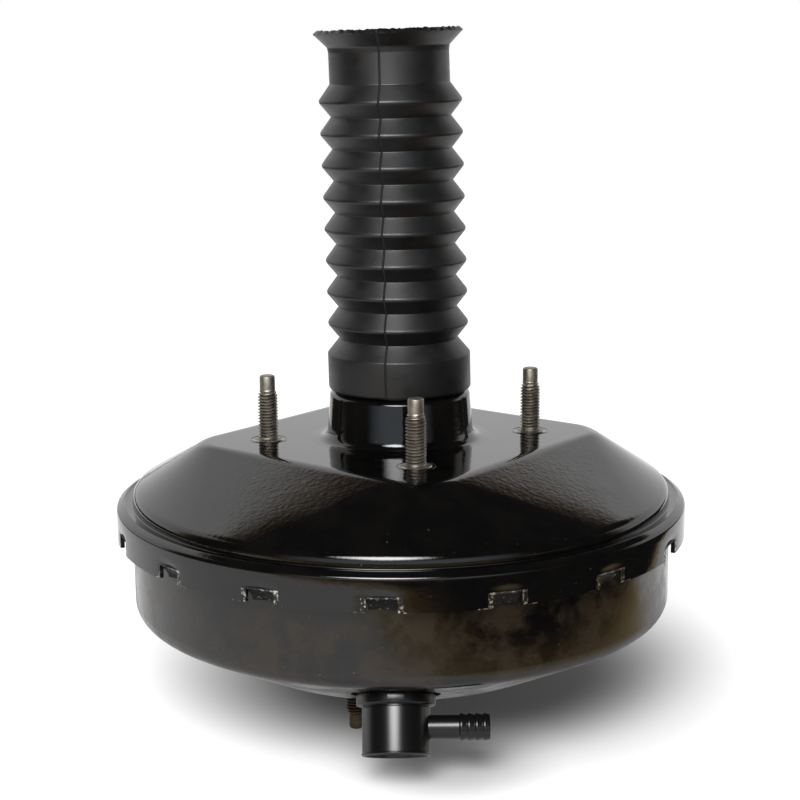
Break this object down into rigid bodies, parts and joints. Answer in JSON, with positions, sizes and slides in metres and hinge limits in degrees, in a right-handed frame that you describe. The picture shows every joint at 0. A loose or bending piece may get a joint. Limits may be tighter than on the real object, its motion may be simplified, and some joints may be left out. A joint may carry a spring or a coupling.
{
  "type": "brake booster",
  "caption": "Vacuum brake booster: crimped steel shells, long ribbed rubber boot, mounting studs and an angled check valve.",
  "frame": {"origin": "centre of the rear mounting face, on the booster's axis", "axes": "+Z along the axis out of the rear face to the pedal, -Z to the master cylinder, -Y to the side that carries the check valve, +X the way its hose barb points"},
  "size_m": [0.2284, 0.2284, 0.2713],
  "materials": {
    "shell_enamel": "gloss black stoving enamel on pressed steel",
    "stud_phosphate": "grey-brown phosphated steel",
    "plate_zinc": "zinc-plated steel",
    "spring_steel": "oiled spring steel",
    "black_nylon": "satin black glass-filled nylon",
    "black_rubber": "matt black rubber",
    "boot_rubber": "satin black moulded rubber",
    "brown_phenolic": "moulded brown phenolic",
    "filter_felt": "pale felt"
  },
  "bodies": {
    "housing": {"rear_shell": "shell_enamel", "front_shell": "shell_enamel", "rear_studs": "stud_phosphate", "front_studs": "stud_phosphate", "rear_stud_plate": "plate_zinc", "front_stud_plate": "plate_zinc", "neck_bush": "black_nylon", "neck_seal": "black_rubber", "neck_seal_retainer": "plate_zinc", "check_valve_grommet": "black_rubber", "boot_collar": "boot_rubber", "boot_bellows": "boot_rubber", "diaphragm": "black_rubber", "return_spring": "spring_steel"},
    "boot_end": {"boot_top": "boot_rubber"},
    "power_piston": {"diaphragm_plate": "plate_zinc", "diaphragm_clip": "spring_steel", "valve_body": "brown_phenolic", "stop_key": "spring_steel", "reaction_disc": "black_rubber", "output_rod": "plate_zinc", "output_rod_screw": "stud_phosphate", "rod_retainer": "plate_zinc", "poppet": "black_rubber", "poppet_retainer": "black_nylon", "poppet_spring": "spring_steel", "air_filter": "filter_felt", "filter_cap": "black_nylon", "rod_spring": "spring_steel"},
    "plunger": {"valve_plunger": "plate_zinc"},
    "input": {"input_rod": "plate_zinc", "lock_nut": "plate_zinc", "rod_spring_cup": "plate_zinc"},
    "vacuum_valve": {"check_valve_cap": "black_nylon", "check_valve_housing": "black_nylon", "check_valve_spring": "spring_steel"},
    "valve_disc": {"check_valve_disc": "black_rubber"}
  },
  "joints": [
    {"name": "power_stroke", "type": "slide", "parent": "housing", "child": "power_piston", "axis": [0, 0, -1], "range_m": [0, 0.03], "stiffness_N_per_m": 3000, "springref_m": -0.02, "deforming": ["return_spring", "diaphragm"]},
    {"name": "plunger_stroke", "type": "slide", "parent": "power_piston", "child": "plunger", "axis": [0, 0, -1], "range_m": [0, 0.002], "stiffness_N_per_m": 2500, "springref_m": -0.008, "deforming": ["rod_spring"]},
    {"name": "input_rod_swing", "type": "hinge", "parent": "plunger", "child": "input", "pos_m": [0, 0, 0.005], "axis": [1, 0, 0], "range_deg": [-4, 4]},
    {"name": "check_valve_turn", "type": "hinge", "parent": "housing", "child": "vacuum_valve", "pos_m": [-0.0024, -0.086, -0.07798], "axis": [0, -0.4524, -0.8918], "continuous": true},
    {"name": "check_valve_lift", "type": "slide", "parent": "vacuum_valve", "child": "valve_disc", "axis": [0, -0.4524, -0.8918], "range_m": [0, 0.0015], "stiffness_N_per_m": 60, "springref_m": -0.004, "deforming": ["check_valve_spring"]},
    {"name": "boot_compress", "type": "slide", "parent": "housing", "child": "boot_end", "axis": [0, 0, -1], "range_m": [0, 0.04], "stiffness_N_per_m": 150, "springref_m": -0.004, "deforming": ["boot_bellows"]}
  ]
}
